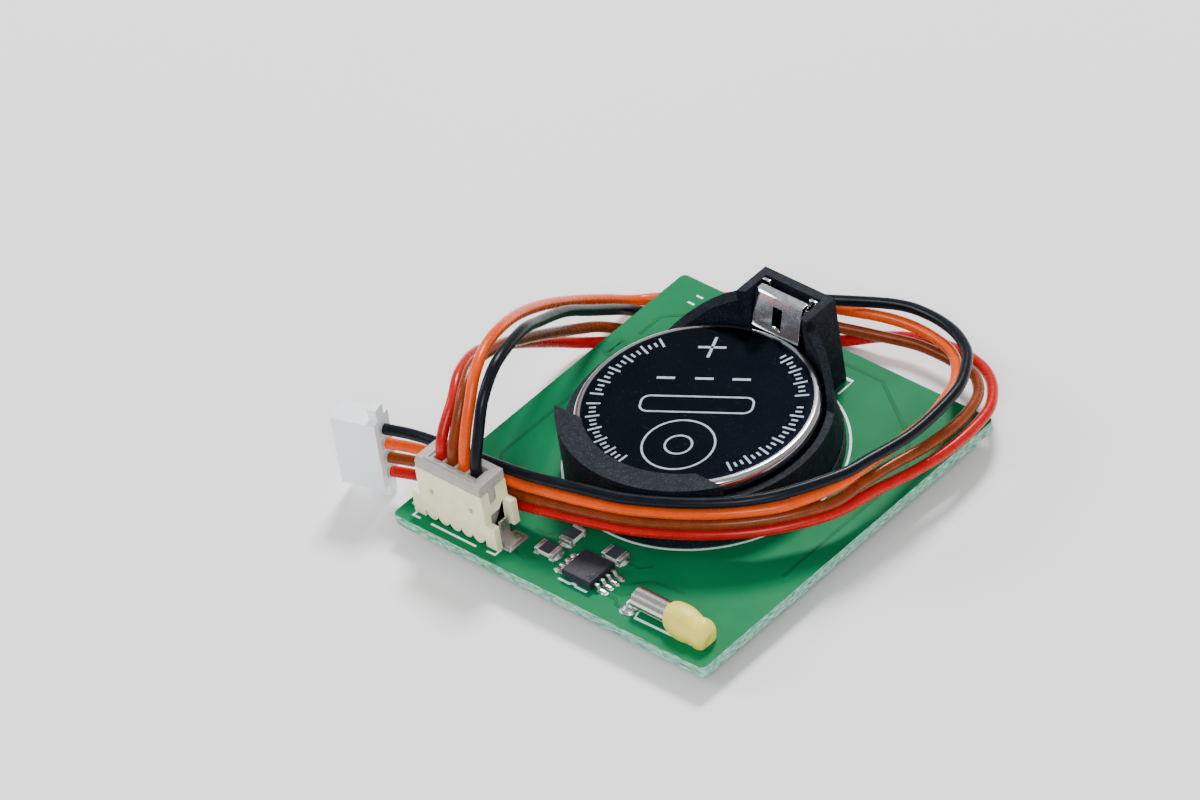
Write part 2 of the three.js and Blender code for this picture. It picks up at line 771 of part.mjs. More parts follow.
// ---- Crystal ----
function watchCrystal() {
  const { x, y, z, radius, length, leadSpread } = crystal;
  const canGroup = new THREE.Group();
  canGroup.position.set(x, y, z);
  canGroup.rotation.y = Math.PI / 2;
  onBoard.add(canGroup);
  const canProfile = [
    [0, 0.5],
    [radius - 0.12, 0.5],
    [radius - 0.12, 0],
    [radius, 0],
    [radius, length - 0.2],
    [radius - 0.2, length],
    [0, length],
  ];
  place("crystal_can", turned(canProfile, 20), look.steel(), canGroup);
  let seal = disc(radius - 0.12 - gap, [0.05, 0.5 - gap], 20);
  for (const side of [-1, 1])
    seal = seal.subtract(rod(0, side * leadSpread, [-1, 1], 0.2, 8));
  place("crystal_seal", seal, look.glass(), canGroup);

  crystalPads.forEach(([padX, padY], index) => {
    const leadY = y + (index === 0 ? -leadSpread : leadSpread);
    const lead = [
      [x + 0.3, leadY, z],
      [x - 0.1, leadY, z],
      [(x + padX) / 2 - 0.1, (leadY + padY) / 2, z - 0.15],
      [padX, padY, 0.5],
      [padX, padY, -0.2],
      [padX, padY, -board.thick - 0.7],
    ];
    place(`crystal_lead_${index + 1}`, bar(lead, 0.28, 8, 0.35), look.tinned());
  });

  // A bead of adhesive ties the far end of the can to the board.
  const bead = new THREE.SphereGeometry(1, 20, 12);
  bead.scale(2.2, 1.35, 1.85);
  bead.translate(x + 5.4, y + 0.1, 0.75);
  let adhesive = solid(bead).intersect(block([0, 30], [-30, 0], [gap, 10]));
  const inside = new THREE.CylinderGeometry(radius + gap, radius + gap, 8, 20);
  inside.rotateZ(Math.PI / 2);
  inside.translate(x + length + gap - 4, y, z);
  adhesive = adhesive.subtract(solid(inside));
  place("crystal_adhesive", adhesive, look.adhesive());
}

// ---- Resistors ----
const resistorPlaces = [
  [2.15, -11.7, 0],
  [-2.8, -14.2, 0],
  [-2.3, -11.85, Math.PI / 2],
];

function resistors() {
  const { length, width, height, cap } = resistor;
  const inner = length / 2 - cap;
  resistorPlaces.forEach(([x, y, turn], index) => {
    const at = new THREE.Group();
    at.position.set(x, y, 0);
    at.rotation.z = turn;
    onBoard.add(at);
    const across = [-width / 2, width / 2];
    const body = block([-inner, inner], across, [0.08, 0.04 + height]);
    place(`resistor_${index + 1}`, body, look.ceramic(), at);
    const ends = { a: -1, b: 1 };
    for (const [name, side] of Object.entries(ends)) {
      const near = side * (inner + 0.02);
      const far = (side * length) / 2;
      const along = [Math.min(near, far), Math.max(near, far)];
      const end = block(along, across, [gap, 0.07 + height]);
      place(`resistor_${index + 1}_end_${name}`, end, look.tinned(), at);
    }
  });
}

// ---- Solder ----
// A cone of solder under the board round each contact pin, and a bead round a crystal lead.
function solderJoints() {
  const cone = (hole) =>
    turned(
      closed([
        [hole, -board.thick - 0.9],
        [hole + 0.12, -board.thick - 0.9],
        [1.05, -board.thick - gap],
        [hole, -board.thick - gap],
      ]),
      16,
    );
  const under = [
    [positivePins[0], positivePinY],
    [positivePins[1], positivePinY],
    [0, negativePinY],
  ];
  under.forEach(([x, y], index) => {
    const joint = place(`solder_joint_${index + 1}`, cone(0.38), look.tinned(), inHolder);
    joint.position.set(x, y, 0);
  });
  const bead = turned(
    closed([
      [0.2, gap],
      [0.5, gap],
      [0.42, 0.3],
      [0.2, 0.42],
    ]),
    16,
  );
  const joint = place("solder_joint_4", bead, look.tinned());
  joint.position.set(crystalPads[0][0], crystalPads[0][1], 0);
}

circuitBoard();
holderBody();
positiveContact();
negativeContact();
coinCell();
headerHousing();
headerPins();
headerTabs();
harnessPlug();
harnessCrimps();
wires();
freeConnector();
clockChip();
watchCrystal();
resistors();
solderJoints();

export default group;
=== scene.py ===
"""Looks for the coin cell backup battery board: shells, printed marks, solder, wires and light."""
import json
import math

import bmesh
import bpy
from mathutils import Matrix, Vector, noise


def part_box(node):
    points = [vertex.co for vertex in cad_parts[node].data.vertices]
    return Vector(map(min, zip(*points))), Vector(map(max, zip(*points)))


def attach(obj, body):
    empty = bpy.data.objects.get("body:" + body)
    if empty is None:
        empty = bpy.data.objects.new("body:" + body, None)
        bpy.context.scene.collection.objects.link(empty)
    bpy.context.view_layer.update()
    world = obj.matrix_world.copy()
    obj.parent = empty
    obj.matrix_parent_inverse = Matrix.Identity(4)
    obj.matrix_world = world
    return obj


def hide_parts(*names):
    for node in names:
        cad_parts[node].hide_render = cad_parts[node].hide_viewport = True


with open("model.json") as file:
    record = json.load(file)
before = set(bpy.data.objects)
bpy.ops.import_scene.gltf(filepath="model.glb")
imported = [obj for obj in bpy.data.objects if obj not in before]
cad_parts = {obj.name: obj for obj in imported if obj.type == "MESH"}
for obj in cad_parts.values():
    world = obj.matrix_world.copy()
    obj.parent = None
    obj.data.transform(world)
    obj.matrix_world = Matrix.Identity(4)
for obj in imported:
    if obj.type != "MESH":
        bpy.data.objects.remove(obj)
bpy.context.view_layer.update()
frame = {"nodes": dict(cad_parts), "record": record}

# ---- Driving sizes, in metres ----
MM = 0.001
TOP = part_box("pcb")[1].z
CELL_LOW, CELL_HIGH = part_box("cell_can")
CELL_X = (CELL_LOW.x + CELL_HIGH.x) / 2
CELL_Y = (CELL_LOW.y + CELL_HIGH.y) / 2
CELL_RADIUS = (CELL_HIGH.x - CELL_LOW.x) / 2
WIRE_DIAMETER = 0.95 * MM
PRINT_HEIGHT = 0.012 * MM
TRACE_HEIGHT = 0.02 * MM
HEADER_X = -10.75  # middle of the board header, in millimetres
CIRCUIT_PITCH = 1.25  # between neighbouring wires there, in millimetres

SLOT_OF = {part["node"]: part["material_slot"] for part in frame["record"]["subparts"]}


def on_board(x, y, z=0.0):
    """A point given in millimetres from the middle of the board's top face."""
    return Vector((x * MM, y * MM, TOP + z * MM))


def mesh_from(work, name):
    """Ends a bmesh: its faces turned outward and its shape kept in a new mesh."""
    bmesh.ops.recalc_face_normals(work, faces=work.faces)
    mesh = bpy.data.meshes.new(name)
    work.to_mesh(mesh)
    work.free()
    return mesh


def smooth_mesh(mesh, angle=32):
    """Smooth shading that stays sharp at edges over the given angle in degrees."""
    mesh.shade_smooth()
    mesh.set_sharp_from_angle(angle=math.radians(angle))


# ---- Camera ----
def make_camera():
    """A long lens looking down on the board from its front right."""
    azimuth, elevation, roll = math.radians(48.0472), math.radians(39.8712), -0.1686
    distance = 726.948 * MM
    target = on_board(-11.8031, 1.9542)
    back = Vector(
        (
            math.sin(azimuth) * math.cos(elevation),
            -math.cos(azimuth) * math.cos(elevation),
            math.sin(elevation),
        )
    )
    right = Vector((0, 0, 1)).cross(back).normalized()
    up = back.cross(right)
    turned_right = math.cos(roll) * right + math.sin(roll) * up
    turned_up = -math.sin(roll) * right + math.cos(roll) * up
    data = bpy.data.cameras.new("camera")
    data.sensor_width = 36
    data.lens = 270
    data.clip_start = 0.01
    data.clip_end = 20
    camera = bpy.data.objects.new("camera", data)
    bpy.context.scene.collection.objects.link(camera)
    turn = Matrix((turned_right, turned_up, back)).transposed()
    camera.matrix_world = Matrix.Translation(target + back * distance) @ turn.to_4x4()
    bpy.context.scene.camera = camera


make_camera()

# ---- Cords: the same routes as the CAD tubes ----
ROUTES = {
    "red": [
        (-0.012625, -0.015, 0.0077), (-0.012625, -0.01485, 0.0094), (-0.0128, -0.01405, 0.0107),
        (-0.0132, -0.0123, 0.0122), (-0.0146, -0.0099, 0.0126), (-0.0164, -0.0064, 0.0113),
        (-0.0176, -0.0028, 0.009), (-0.0185, 0.0008, 0.0063), (-0.0191, 0.0034, 0.0042),
        (-0.0194, 0.0054, 0.00265), (-0.01915, 0.0074, 0.00127), (-0.018, 0.0091, 0.00065),
        (-0.016, 0.0106, 0.00057), (-0.011, 0.01395, 0.00057), (-0.0062, 0.0175, 0.00057),
        (-0.0017, 0.02, 0.0006), (0.0014, 0.0213, 0.0015), (0.0045, 0.0223, 0.0021),
        (0.0084, 0.0225, 0.0027), (0.01146, 0.0219, 0.0031), (0.01342, 0.02103, 0.0033),
        (0.01513, 0.01956, 0.0035), (0.01654, 0.01737, 0.0037), (0.01715, 0.0143, 0.0039),
        (0.0172, 0.0108, 0.0041), (0.01676, 0.00762, 0.0043), (0.01595, 0.0044, 0.0045),
        (0.0149, 0, 0.00465), (0.0119, -0.0042, 0.00465), (0.0079, -0.0075, 0.00465),
        (0.00305, -0.0101, 0.00465), (-0.0007, -0.0113, 0.00465), (-0.0048, -0.01215, 0.0044),
        (-0.0078, -0.01245, 0.004), (-0.0142, -0.01285, 0.0033), (-0.0175, -0.0132, 0.0027),
        (-0.0202, -0.0139, 0.00245),
    ],
    "brown": [
        (-0.011375, -0.015, 0.0077), (-0.011375, -0.01485, 0.0094), (-0.0115, -0.0141, 0.0108),
        (-0.01175, -0.01295, 0.0124), (-0.0124, -0.0115, 0.0134), (-0.0137, -0.0089, 0.0134),
        (-0.01515, -0.00464, 0.0115), (-0.01615, -0.0017, 0.0095), (-0.01705, 0.0011, 0.0075),
        (-0.0183, 0.0052, 0.0045), (-0.0185, 0.0083, 0.0026), (-0.01845, 0.0099, 0.0015),
        (-0.0177, 0.0113, 0.0006), (-0.016, 0.0126, 0.00057), (-0.0125, 0.0152, 0.00057),
        (-0.0092, 0.0176, 0.0006), (-0.0056, 0.0194, 0.00135), (-0.0016, 0.0199, 0.0021),
        (0.0024, 0.0204, 0.0027), (0.0061, 0.0207, 0.0033), (0.00886, 0.02057, 0.0036),
        (0.0112, 0.0202, 0.00385), (0.01308, 0.01975, 0.0041), (0.01485, 0.01827, 0.0043),
        (0.01585, 0.01635, 0.00455), (0.01648, 0.01371, 0.0049), (0.01646, 0.01032, 0.00515),
        (0.01585, 0.00667, 0.00545), (0.01545, 0.0036, 0.00565), (0.01495, 0.0001, 0.0057),
        (0.0119, -0.00415, 0.0057), (0.0079, -0.0075, 0.0057), (0.00305, -0.0101, 0.0057),
        (-0.0007, -0.0113, 0.0057), (-0.0048, -0.01215, 0.00545), (-0.0078, -0.01245, 0.0051),
        (-0.0142, -0.01285, 0.0046), (-0.0175, -0.0132, 0.00415), (-0.0202, -0.0139, 0.00395),
    ],
    "orange": [
        (-0.010125, -0.015, 0.0077), (-0.010125, -0.01485, 0.0094), (-0.01025, -0.01415, 0.0114),
        (-0.01065, -0.01275, 0.0135), (-0.0112, -0.0113, 0.015), (-0.0122, -0.009, 0.0155),
        (-0.01342, -0.00622, 0.0149), (-0.01534, -0.00214, 0.0128), (-0.01736, 0.00267, 0.0095),
        (-0.019, 0.0076, 0.0057), (-0.0195, 0.0115, 0.0028), (-0.0193, 0.0142, 0.0009),
        (-0.0178, 0.016, 0.00057), (-0.0145, 0.0182, 0.00057), (-0.009, 0.0213, 0.0009),
        (-0.0033, 0.0215, 0.0022), (0.0016, 0.02145, 0.0037), (0.00494, 0.02145, 0.0043),
        (0.00794, 0.02098, 0.0047), (0.0103, 0.02025, 0.00495), (0.0119, 0.0191, 0.0052),
        (0.0134, 0.0173, 0.0054), (0.0141, 0.0156, 0.0055), (0.01487, 0.0124, 0.0057),
        (0.01505, 0.0094, 0.006), (0.0151, 0.005, 0.0066), (0.01495, 0.0016, 0.00675),
        (0.0136, -0.0018, 0.00675), (0.0119, -0.00415, 0.00675), (0.0079, -0.00745, 0.00675),
        (0.00305, -0.01005, 0.00675), (-0.0007, -0.0113, 0.00675), (-0.0048, -0.0121, 0.00655),
        (-0.0078, -0.0124, 0.00625), (-0.0142, -0.01285, 0.0059), (-0.0175, -0.0132, 0.0056),
        (-0.0202, -0.0139, 0.00545),
    ],
    "black": [
        (-0.008875, -0.015, 0.0077), (-0.008875, -0.01485, 0.0094), (-0.00905, -0.01395, 0.0115),
        (-0.00945, -0.0125, 0.0139), (-0.01, -0.0105, 0.0153), (-0.0108, -0.0082, 0.0154),
        (-0.0123, -0.0045, 0.0143), (-0.0139, -0.0012, 0.0121), (-0.0158, 0.0034, 0.009),
        (-0.0171, 0.0075, 0.0056), (-0.0179, 0.0107, 0.00305), (-0.01815, 0.0125, 0.0016),
        (-0.0177, 0.0139, 0.0006), (-0.0161, 0.0153, 0.00057), (-0.0135, 0.0171, 0.00057),
        (-0.009, 0.0196, 0.0011), (-0.0056, 0.0206, 0.0027), (-0.0025, 0.021, 0.0038),
        (0.00306, 0.02204, 0.0052), (0.0064, 0.0221, 0.0057), (0.0096, 0.0214, 0.0061),
        (0.012, 0.0202, 0.00635), (0.0135, 0.0188, 0.00655), (0.015, 0.0164, 0.00675),
        (0.01565, 0.0144, 0.0069), (0.0161, 0.01126, 0.0071), (0.0162, 0.00826, 0.0073),
        (0.0157, 0.0045, 0.0076), (0.01495, 0.0011, 0.0078), (0.0119, -0.004, 0.00785),
        (0.00795, -0.00735, 0.00785), (0.00305, -0.01, 0.00785), (-0.00075, -0.01115, 0.00785),
        (-0.0048, -0.012, 0.00765), (-0.0078, -0.01235, 0.00745), (-0.0142, -0.01285, 0.0072),
        (-0.0175, -0.0132, 0.00705), (-0.0202, -0.0139, 0.00695),
    ],
}


def smooth_line(points, pieces=7):
    """A Catmull-Rom line through the points, as a list of closely spaced points."""
    guide = [Vector(p) for p in points]
    guide = [2 * guide[0] - guide[1], *guide, 2 * guide[-1] - guide[-2]]
    line = []
    for p0, p1, p2, p3 in zip(guide, guide[1:], guide[2:], guide[3:]):
        for piece in range(pieces):
            t = piece / pieces
            line.append(
                0.5
                * (
                    2 * p1
                    + (p2 - p0) * t
                    + (2 * p0 - 5 * p1 + 4 * p2 - p3) * t * t
                    + (3 * p1 - p0 - 3 * p2 + p3) * t**3
                )
            )
    line.append(guide[-2])
    return line


def tube_mesh(name, line, radius, sides=16):
    """A closed round tube along a line."""
    work = bmesh.new()
    ahead = [(b - a).normalized() for a, b in zip(line, line[1:])]
    ahead.append(ahead[-1])
    across = ahead[0].orthogonal().normalized()
    rings = []
    for index, place in enumerate(line):
        forward = (ahead[max(0, index - 1)] + ahead[index]).normalized()
        across = (across - forward * across.dot(forward)).normalized()
        beside = forward.cross(across)
        ring = []
        for side in range(sides):
            angle = 2 * math.pi * side / sides
            outward = math.cos(angle) * across + math.sin(angle) * beside
            ring.append(work.verts.new(place + radius * outward))
        rings.append(ring)
    for first, second in zip(rings, rings[1:]):
        for side in range(sides):
            following = (side + 1) % sides
            work.faces.new((first[side], second[side], second[following], first[following]))
    work.faces.new(rings[0])
    work.faces.new(rings[-1][::-1])
    mesh = mesh_from(work, name)
    smooth_mesh(mesh, 50)
    return mesh


def make_wire(name, points):
    """One insulated wire along its route, with the line that it follows."""
    line = smooth_line(points)
    mesh = tube_mesh(f"wire_{name}_insulation", line, WIRE_DIAMETER / 2)
    wire = bpy.data.objects.new(mesh.name, mesh)
    bpy.context.scene.collection.objects.link(wire)
    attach(wire, "root")
    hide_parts(f"wire_{name}")
    return wire, line


WIRES = {name: make_wire(name, points) for name, points in ROUTES.items()}


# ---- Materials ----
def new_material(name, colour, roughness, metallic=0.0):
    material = bpy.data.materials.new(name)
    material.use_nodes = True
    shader = material.node_tree.nodes["Principled BSDF"]
    shader.inputs["Base Color"].default_value = (*colour, 1)
    shader.inputs["Roughness"].default_value = roughness
    shader.inputs["Metallic"].default_value = metallic
    return material, material.node_tree, shader


def object_noise(tree, scale, detail=3.0, stretch=None):
    """Noise in the piece's own space, in features of about 1/scale metres."""
    nodes, links = tree.nodes, tree.links
    place = nodes.new("ShaderNodeTexCoord").outputs["Object"]
    if stretch:
        mapping = nodes.new("ShaderNodeMapping")
        mapping.inputs["Scale"].default_value = stretch
        links.new(place, mapping.inputs["Vector"])
        place = mapping.outputs["Vector"]
    texture = nodes.new("ShaderNodeTexNoise")
    texture.inputs["Scale"].default_value = scale
    texture.inputs["Detail"].default_value = detail
    links.new(place, texture.inputs["Vector"])
    return texture.outputs["Fac"]


def ranged(tree, value, low, high, to_low=0.0, to_high=1.0):
    node = tree.nodes.new("ShaderNodeMapRange")
    for name, number in zip(
        ("From Min", "From Max", "To Min", "To Max"), (low, high, to_low, to_high)
    ):
        node.inputs[name].default_value = number
    tree.links.new(value, node.inputs["Value"])
    return node.outputs["Result"]


def blended(tree, factor, first, second):
    """A colour between two, each a colour or a socket."""
    node = tree.nodes.new("ShaderNodeMix")
    node.data_type = "RGBA"
    tree.links.new(factor, node.inputs[0])
    for socket, value in ((node.inputs[6], first), (node.inputs[7], second)):
        if isinstance(value, tuple):
            socket.default_value = (*value, 1)
        else:
            tree.links.new(value, socket)
    return node.outputs[2]


def add_bump(tree, shader, height, distance, strength=1.0):
    bump = tree.nodes.new("ShaderNodeBump")
    bump.inputs["Strength"].default_value = strength
    bump.inputs["Distance"].default_value = distance
    tree.links.new(height, bump.inputs["Height"])
    tree.links.new(bump.outputs["Normal"], shader.inputs["Normal"])


def shaded(colour, factor):
    return tuple(min(1.0, c * factor) for c in colour)


def plastic(
    name, colour, roughness, grain=900, tint=0.1, bump=0.012, coat=0.0, speck=None, shine=0.35
):
    material, tree, shader = new_material(name, colour, roughness)
    cloud = ranged(tree, object_noise(tree, grain), 0.35, 0.65)
    base = blended(tree, cloud, shaded(colour, 1 - tint), shaded(colour, 1 + tint))
    if speck:
        speck_colour, speck_scale, threshold = speck
        dots = object_noise(tree, speck_scale, 1.0)
        spots = ranged(tree, dots, threshold, threshold + 0.06)
        base = blended(tree, spots, base, speck_colour)
    tree.links.new(base, shader.inputs["Base Color"])
    rough = ranged(tree, object_noise(tree, grain * 3), 0.3, 0.7, roughness * 0.85, roughness * 1.2)
    tree.links.new(rough, shader.inputs["Roughness"])
    add_bump(tree, shader, object_noise(tree, grain * 9), bump * MM, 0.6)
    shader.inputs["Specular IOR Level"].default_value = shine
    shader.inputs["Coat Weight"].default_value = coat
    shader.inputs["Coat Roughness"].default_value = 0.12
    return material


def metal(name, colour, roughness, grain=700, stretch=(1, 1, 1), bump=0.006, tint=0.1):
    material, tree, shader = new_material(name, colour, roughness, 1.0)
    cloud = ranged(tree, object_noise(tree, grain), 0.35, 0.65)
    base = blended(tree, cloud, shaded(colour, 1 - tint), shaded(colour, 1 + tint / 2))
    tree.links.new(base, shader.inputs["Base Color"])
    fine = object_noise(tree, grain * 4, 4.0, stretch)
    rough = ranged(tree, fine, 0.3, 0.7, roughness * 0.7, roughness * 1.4)
    tree.links.new(rough, shader.inputs["Roughness"])
    add_bump(tree, shader, fine, bump * MM, 0.5)
    return material


def cell_steel():
    """Polished steel with painted light: the scratched flat top coloured near black as a painted
    reflection, and the rounded edge coloured pale as a painted highlight.
    """
    # Painted light: a near-black colour for the top as a painted reflection, and a pale colour for
    # the edge as a painted highlight.
    painted_dark_reflection, painted_edge_highlight = (0.006, 0.010, 0.020), (0.62, 0.64, 0.67)
    material, tree, shader = new_material("cell_steel", painted_dark_reflection, 0.16, 1.0)
    nodes, links = tree.nodes, tree.links
    place = nodes.new("ShaderNodeTexCoord").outputs["Object"]
    offset = nodes.new("ShaderNodeVectorMath")
    offset.operation = "SUBTRACT"
    offset.inputs[1].default_value = (CELL_X, CELL_Y, 0)
    links.new(place, offset.inputs[0])
    flat = nodes.new("ShaderNodeVectorMath")
    flat.operation = "MULTIPLY"
    flat.inputs[1].default_value = (1, 1, 0)
    links.new(offset.outputs[0], flat.inputs[0])
    reach = nodes.new("ShaderNodeVectorMath")
    reach.operation = "LENGTH"
    links.new(flat.outputs[0], reach.inputs[0])
    # Mask for the painted highlight in a ring round the edge of the top.
    highlight_edge_mask = ranged(tree, reach.outputs["Value"], CELL_RADIUS - 0.62 * MM, CELL_RADIUS - 0.5 * MM)
    haze = ranged(tree, object_noise(tree, 350, 4), 0.35, 0.7)
    # Haze, dust and scuffs are the can's own marks, laid over the painted near-black reflection on
    # the top.
    face = blended(tree, haze, painted_dark_reflection, (0.008, 0.013, 0.024))
    dust = ranged(tree, object_noise(tree, 6500, 1), 0.76, 0.8)
    face = blended(tree, dust, face, (0.10, 0.14, 0.19))
    scuffs = ranged(tree, object_noise(tree, 900, 2, (1, 14, 1)), 0.69, 0.73)
    face = blended(tree, scuffs, face, (0.05, 0.075, 0.11))
    # The painted highlight on the edge ring, over the painted reflection on the top.
    links.new(blended(tree, highlight_edge_mask, face, painted_edge_highlight), shader.inputs["Base Color"])
    fine = object_noise(tree, 9000, 3)
    links.new(ranged(tree, fine, 0.3, 0.7, 0.12, 0.2), shader.inputs["Roughness"])
    add_bump(tree, shader, fine, 0.0005 * MM, 0.4)
    return material


def laminate_edge():
    """The sawn edge of the board: pale fibres in resin."""
    material, tree, shader = new_material("laminate_edge", (0.42, 0.62, 0.52), 0.7)
    fibres = ranged(tree, object_noise(tree, 1500, 5, (1, 1, 5)), 0.35, 0.65)
    base = blended(tree, fibres, (0.01, 0.22, 0.12), (0.40, 0.68, 0.55))
    tree.links.new(base, shader.inputs["Base Color"])
    add_bump(tree, shader, fibres, 0.05 * MM, 0.8)
    return material


GREEN = (0.0, 0.150, 0.052)
MATERIALS = {
    "laminate": plastic("laminate", GREEN, 0.45, grain=160, tint=0.1, bump=0.003, shine=0.1),
    "holder_plastic": plastic(
        "holder_plastic", (0.003, 0.006, 0.011), 0.58, grain=700, tint=0.3, bump=0.03, shine=0.13,
        speck=((0.04, 0.055, 0.08), 11000, 0.64),
    ),
    "spring_contact": metal("spring_contact", (0.78, 0.84, 0.9), 0.13),
    "cell_steel": cell_steel(),
    "gasket": plastic("gasket", (0.02, 0.02, 0.02), 0.7),
    "cathode": plastic("cathode", (0.03, 0.03, 0.032), 0.95, bump=0.03),
    "separator": plastic("separator", (0.85, 0.85, 0.82), 0.9, grain=2500, bump=0.03),
    "lithium": metal("lithium", (0.45, 0.46, 0.48), 0.5, bump=0.02),
    "header_plastic": plastic(
        "header_plastic", (0.86, 0.83, 0.55), 0.5, tint=0.05, bump=0.006, shine=0.25
    ),
    "plug_plastic": plastic(
        "plug_plastic", (0.40, 0.37, 0.345), 0.5, tint=0.06, bump=0.008, shine=0.25
    ),
    "free_plug_plastic": plastic(
        "free_plug_plastic", (0.90, 0.95, 1.0), 0.45, tint=0.03, bump=0.006, shine=0.3
    ),
    "tinned_metal": metal("tinned_metal", (0.70, 0.72, 0.74), 0.32, grain=3000, bump=0.0006),
    "solder": metal("solder", (0.66, 0.68, 0.71), 0.34, bump=0.008),
    "red_insulation": plastic(
        "red_insulation", (0.47, 0.002, 0.002), 0.27, tint=0.1, bump=0.0001, shine=0.26
    ),
    "brown_insulation": plastic(
        "brown_insulation", (0.19, 0.032, 0.004), 0.28, tint=0.15, bump=0.0001, shine=0.26
    ),
    "orange_insulation": plastic(
        "orange_insulation", (0.76, 0.074, 0.0), 0.27, tint=0.08, bump=0.0001, shine=0.26
    ),
    "black_insulation": plastic(
        "black_insulation", (0.003, 0.005, 0.009), 0.3, tint=0.2, bump=0.0001, shine=0.16
    ),
    "chip_plastic": plastic(
        "chip_plastic", (0.010, 0.014, 0.022), 0.5, grain=1500, tint=0.2, bump=0.02,
        speck=((0.03, 0.04, 0.055), 9000, 0.62),
    ),
    "crystal_steel": metal("crystal_steel", (0.66, 0.65, 0.63), 0.2, grain=6000, bump=0.0003),
    "glass_seal": plastic("glass_seal", (0.08, 0.06, 0.05), 0.25),
    "adhesive": plastic(
        "adhesive", (0.80, 0.68, 0.11), 0.4, grain=300, tint=0.06, bump=0.03, shine=0.4
    ),
    "resistor_ends": metal("resistor_ends", (0.78, 0.80, 0.82), 0.42, bump=0.02),
    "resistor_ceramic": plastic("resistor_ceramic", (0.72, 0.72, 0.70), 0.6),
}
EDGE = laminate_edge()
PRINT = plastic("print_ink", (0.80, 0.93, 0.92), 0.55, grain=2500, tint=0.08, bump=0.006)
TRACE = plastic("covered_copper", (0.0, 0.112, 0.038), 0.45, grain=250, tint=0.12, shine=0.1)
GLAZE = plastic("resistor_glaze", (0.03, 0.045, 0.055), 0.4, bump=0.01)
ETCH = plastic("etched_mark", (0.33, 0.41, 0.50), 0.6, grain=3000, tint=0.18, bump=0.004)
for name, (wire, _) in WIRES.items():
    wire.data.materials.append(MATERIALS[f"{name}_insulation"])


# ---- Making pieces ----
def add_piece(name, mesh, materials, body="root", parent_nodes=()):
    piece = bpy.data.objects.new(name, mesh)
    bpy.context.scene.collection.objects.link(piece)
    if not mesh.materials:
        for material in materials:
            mesh.materials.append(material)
    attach(piece, body)
    if parent_nodes:
        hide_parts(*parent_nodes)
    return piece


def weigh_normals(piece):
    """Lets the large faces keep their flat shading beside small bevels."""
    modifier = piece.modifiers.new("weighted_normals", "WEIGHTED_NORMAL")
    modifier.keep_sharp = True


def body_of(node):
    """The moving body that a CAD node belongs to."""
    for body, members in frame["record"]["behaviour"]["bodies"].items():
        if node in members:
            return body
    return "root"


def softened(node, width, segments=2, angle=30):
    """A copy of a CAD node with its flat faces whole and its sharp edges rounded."""
    mesh = frame["nodes"][node].data.copy()
    mesh.name = f"{node}_shell"
    mesh.materials.clear()
    work = bmesh.new()
    work.from_mesh(mesh)
    bmesh.ops.remove_doubles(work, verts=work.verts, dist=0.002 * MM)
    bmesh.ops.dissolve_limit(
        work, angle_limit=math.radians(1.0), verts=work.verts, edges=work.edges
    )
    sharp = [
        edge
        for edge in work.edges
        if edge.is_manifold and edge.calc_face_angle(0) > math.radians(angle)
    ]
    bmesh.ops.bevel(
        work,
        geom=sharp,
        offset=width * MM,
        offset_type="OFFSET",
        segments=segments,
        profile=0.5,
        affect="EDGES",
        clamp_overlap=True,
        miter_outer="ARC",
    )
    bmesh.ops.recalc_face_normals(work, faces=work.faces)
    work.to_mesh(mesh)
    work.free()
    smooth_mesh(mesh)
    slot = SLOT_OF[node]
    piece = add_piece(mesh.name, mesh, [MATERIALS[slot]], body_of(node), [node])
    weigh_normals(piece)
    return piece


# ---- Shells over the CAD nodes ----
SOFT_EDGES = {
    "header_housing": 0.07,
    "harness_plug": 0.09,
    "free_plug": 0.12,
    "clock_chip": 0.06,
    "positive_clip": 0.05,
    "positive_terminal": 0.04,
    "negative_terminal": 0.04,
    "negative_finger": 0.04,
    "header_tab_left": 0.05,
    "header_tab_right": 0.05,
    "crystal_can": 0.16,
    "crystal_seal": 0.05,
    "cell_gasket": 0.03,
    "cathode_pellet": 0.05,
    "lithium_disc": 0.05,
}
for node, width in SOFT_EDGES.items():
    softened(node, width)
for number in range(1, 9):
    softened(f"chip_lead_{number}", 0.035, angle=20)
for number in range(1, 5):
    softened(f"header_pin_{number}", 0.05)
    softened(f"harness_crimp_{number}", 0.04)
    softened(f"free_crimp_{number}", 0.04)
    softened(f"solder_joint_{number}", 0.05, angle=60)
for number in range(1, 4):
    for end in ("a", "b"):
        softened(f"resistor_{number}_end_{end}", 0.06)


def make_board():
    """The board with its sawn edges in a paler material than its two faces."""
    board = softened("pcb", 0.03)
    board.data.materials.append(EDGE)
    for face in board.data.polygons:
        if abs(face.normal.z) < 0.5:
            face.material_index = 1


def make_holder():
    """The moulded holder: its flat faces whole, and a small round on every outer corner."""
    return softened("holder_body", 0.05, segments=1, angle=40)


def make_cell():
    """The can, open below, with a broad rounded shoulder."""
    rounding, steps, sides = 0.42 * MM, 6, 128
    low, high = CELL_LOW.z, CELL_HIGH.z
    outline = [(0.0, high), (CELL_RADIUS - 1.2 * MM, high)]
    for step in range(steps + 1):
        angle = math.pi / 2 * (1 - step / steps)
        outline.append(
            (
                CELL_RADIUS - rounding + rounding * math.cos(angle),
                high - rounding + rounding * math.sin(angle),
            )
        )
    shell = 0.24 * MM
    outline += [
        (CELL_RADIUS, low + 0.2 * MM),
        (CELL_RADIUS - 0.12 * MM, low),
        (CELL_RADIUS - shell - 0.05 * MM, low),
        (CELL_RADIUS - shell, low + 0.3 * MM),
        (CELL_RADIUS - shell, high - shell),
        (0.0, high - shell),
    ]
    mesh = spun("cell_can_shell", outline, (CELL_X, CELL_Y), sides)
    smooth_mesh(mesh, 40)
    add_piece(mesh.name, mesh, [MATERIALS["cell_steel"]], "cell", ["cell_can"])


